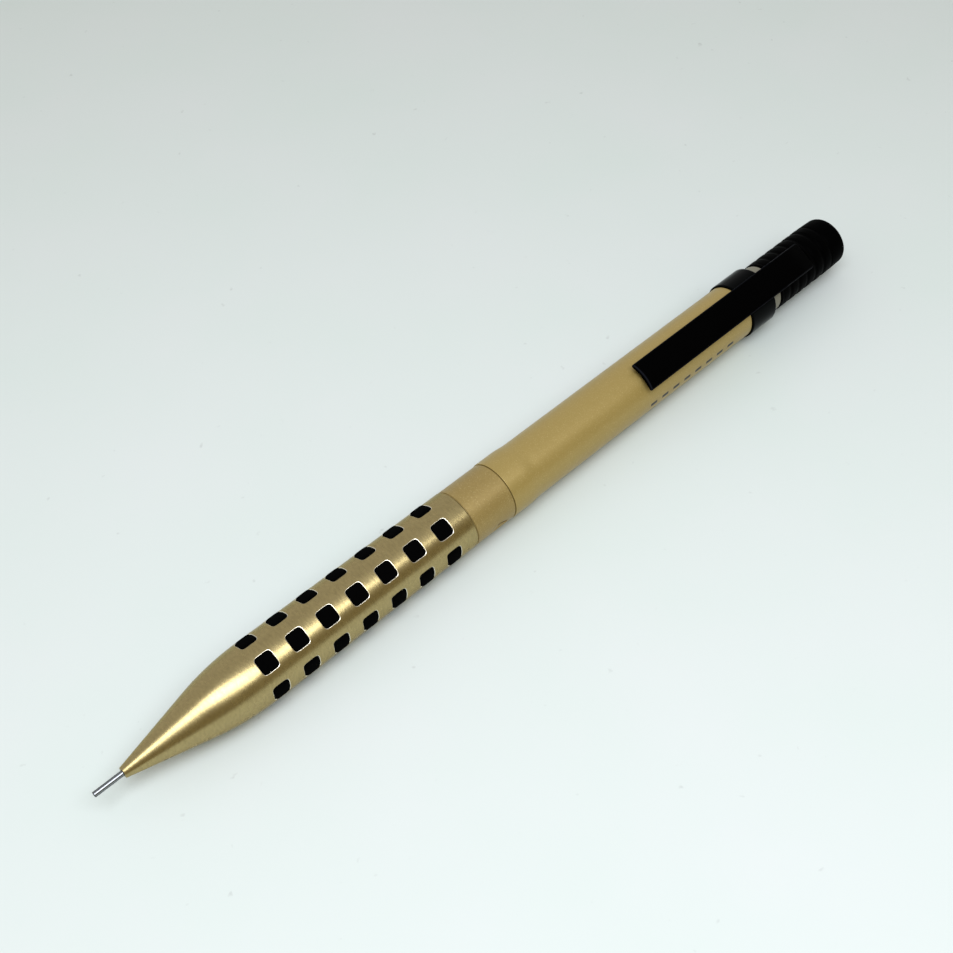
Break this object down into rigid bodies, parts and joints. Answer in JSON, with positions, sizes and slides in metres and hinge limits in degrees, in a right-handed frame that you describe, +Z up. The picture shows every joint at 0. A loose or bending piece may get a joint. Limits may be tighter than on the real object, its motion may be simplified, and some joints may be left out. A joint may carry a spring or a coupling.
{
  "type": "mechanical pencil",
  "caption": "Push-button mechanical pencil with a one-piece metal nose and grip, rubber nubs standing through its windows, and a pocket clip on the press cap.",
  "frame": {"origin": "middle of the footprint of the pencil lying at rest, on the surface it lies on", "axes": "+X along the pencil from the lead pipe to the press cap, +Z up; the clip faces up and 30 degrees towards -Y"},
  "size_m": [0.139, 0.0092, 0.0101],
  "materials": {
    "grip_metal": "satin champagne-gold coat on turned metal",
    "nub_rubber": "matte moulded rubber",
    "pipe_steel": "bright drawn steel tube",
    "ring_plastic": "satin champagne lacquer over plastic",
    "barrel_plastic": "satin champagne lacquer over plastic",
    "collar_plastic": "polished black",
    "cap_plastic": "moulded black, satin",
    "neck_plastic": "pale warm grey, moulded",
    "brass_parts": "turned",
    "spring_steel": "drawn wire",
    "tank_plastic": "frosted translucent, moulded",
    "inner_plastic": "moulded dark grey",
    "eraser_vinyl": "white matte vinyl",
    "lead_graphite": "dark grey with a faint sheen"
  },
  "bodies": {
    "barrel": {"barrel": "barrel_plastic", "joint_ring": "ring_plastic", "thread_connector": "brass_parts", "collar": "collar_plastic", "clutch_sleeve": "inner_plastic", "return_spring": "spring_steel"},
    "nose": {"guide_pipe": "pipe_steel", "lead_retainer": "nub_rubber"},
    "grip": {"grip_shell": "grip_metal", "rubber_grip": "nub_rubber", "grip_core": "inner_plastic"},
    "press_unit": {"lead_tank": "tank_plastic", "tank_coupling": "brass_parts", "chuck_stem": "brass_parts", "spare_lead_1": "lead_graphite", "spare_lead_2": "lead_graphite", "spare_lead_3": "lead_graphite"},
    "cap": {"press_cap": "cap_plastic", "neck_sleeve": "neck_plastic"},
    "clip": {"clip": "cap_plastic"},
    "eraser": {"eraser": "eraser_vinyl", "eraser_cup": "brass_parts"},
    "clutch": {"clutch_ring": "brass_parts"},
    "lead": {"lead_in_use": "lead_graphite"},
    "jaw_1": {"chuck_jaw_1": "brass_parts"},
    "jaw_2": {"chuck_jaw_2": "brass_parts"},
    "jaw_3": {"chuck_jaw_3": "brass_parts"}
  },
  "joints": [
    {"name": "grip_advance", "type": "slide", "parent": "barrel", "child": "nose", "axis": [-1, 0, 0], "range_m": [0, 0.0041]},
    {"name": "grip_turn", "type": "hinge", "parent": "nose", "child": "grip", "pos_m": [-0.0295, 0, 0.00456], "axis": [-1, 0, 0], "range_deg": [0, 1440]},
    {"name": "button_press", "type": "slide", "parent": "barrel", "child": "press_unit", "axis": [-1, 0, 0], "range_m": [0, 0.0018], "stiffness_N_per_m": 800, "springref_m": -0.003, "deforming": ["return_spring"]},
    {"name": "cap_pull", "type": "slide", "parent": "press_unit", "child": "cap", "axis": [1, 0, 0], "range_m": [0, 0.014]},
    {"name": "clip_flex", "type": "hinge", "parent": "cap", "child": "clip", "pos_m": [0.0603, -0.00225, 0.00846], "axis": [0, 0.866, 0.5], "range_deg": [0, 3.5], "stiffness_Nm_per_rad": 0.3, "springref_deg": -1.72},
    {"name": "eraser_pull", "type": "slide", "parent": "press_unit", "child": "eraser", "axis": [1, 0, 0], "range_m": [0, 0.0025]},
    {"name": "clutch_travel", "type": "slide", "parent": "barrel", "child": "clutch", "axis": [-1, 0, 0], "range_m": [0, 0.00075]},
    {"name": "lead_feed", "type": "slide", "parent": "barrel", "child": "lead", "axis": [-1, 0, 0], "range_m": [0, 0.00075]},
    {"name": "jaw_1_open", "type": "hinge", "parent": "press_unit", "child": "jaw_1", "pos_m": [-0.0516, -0.0006, 0.00456], "axis": [0, 0, 1], "range_deg": [0, 2.6]},
    {"name": "jaw_2_open", "type": "hinge", "parent": "press_unit", "child": "jaw_2", "pos_m": [-0.0516, 0.0003, 0.00404], "axis": [0, -0.866, -0.5], "range_deg": [0, 2.6]},
    {"name": "jaw_3_open", "type": "hinge", "parent": "press_unit", "child": "jaw_3", "pos_m": [-0.0516, 0.0003, 0.00508], "axis": [0, 0.866, -0.5], "range_deg": [0, 2.6]}
  ],
  "couplings": [
    {"joint": "grip_advance", "follows": "grip_turn", "m_per_rad": 0.00015915},
    {"joint": "clutch_travel", "follows": "button_press", "ratio": 0.4},
    {"joint": "lead_feed", "follows": "button_press", "ratio": 0.4},
    {"joint": "jaw_1_open", "follows": "button_press", "rad_per_m": 24.241},
    {"joint": "jaw_2_open", "follows": "button_press", "rad_per_m": 24.241},
    {"joint": "jaw_3_open", "follows": "button_press", "rad_per_m": 24.241}
  ]
}
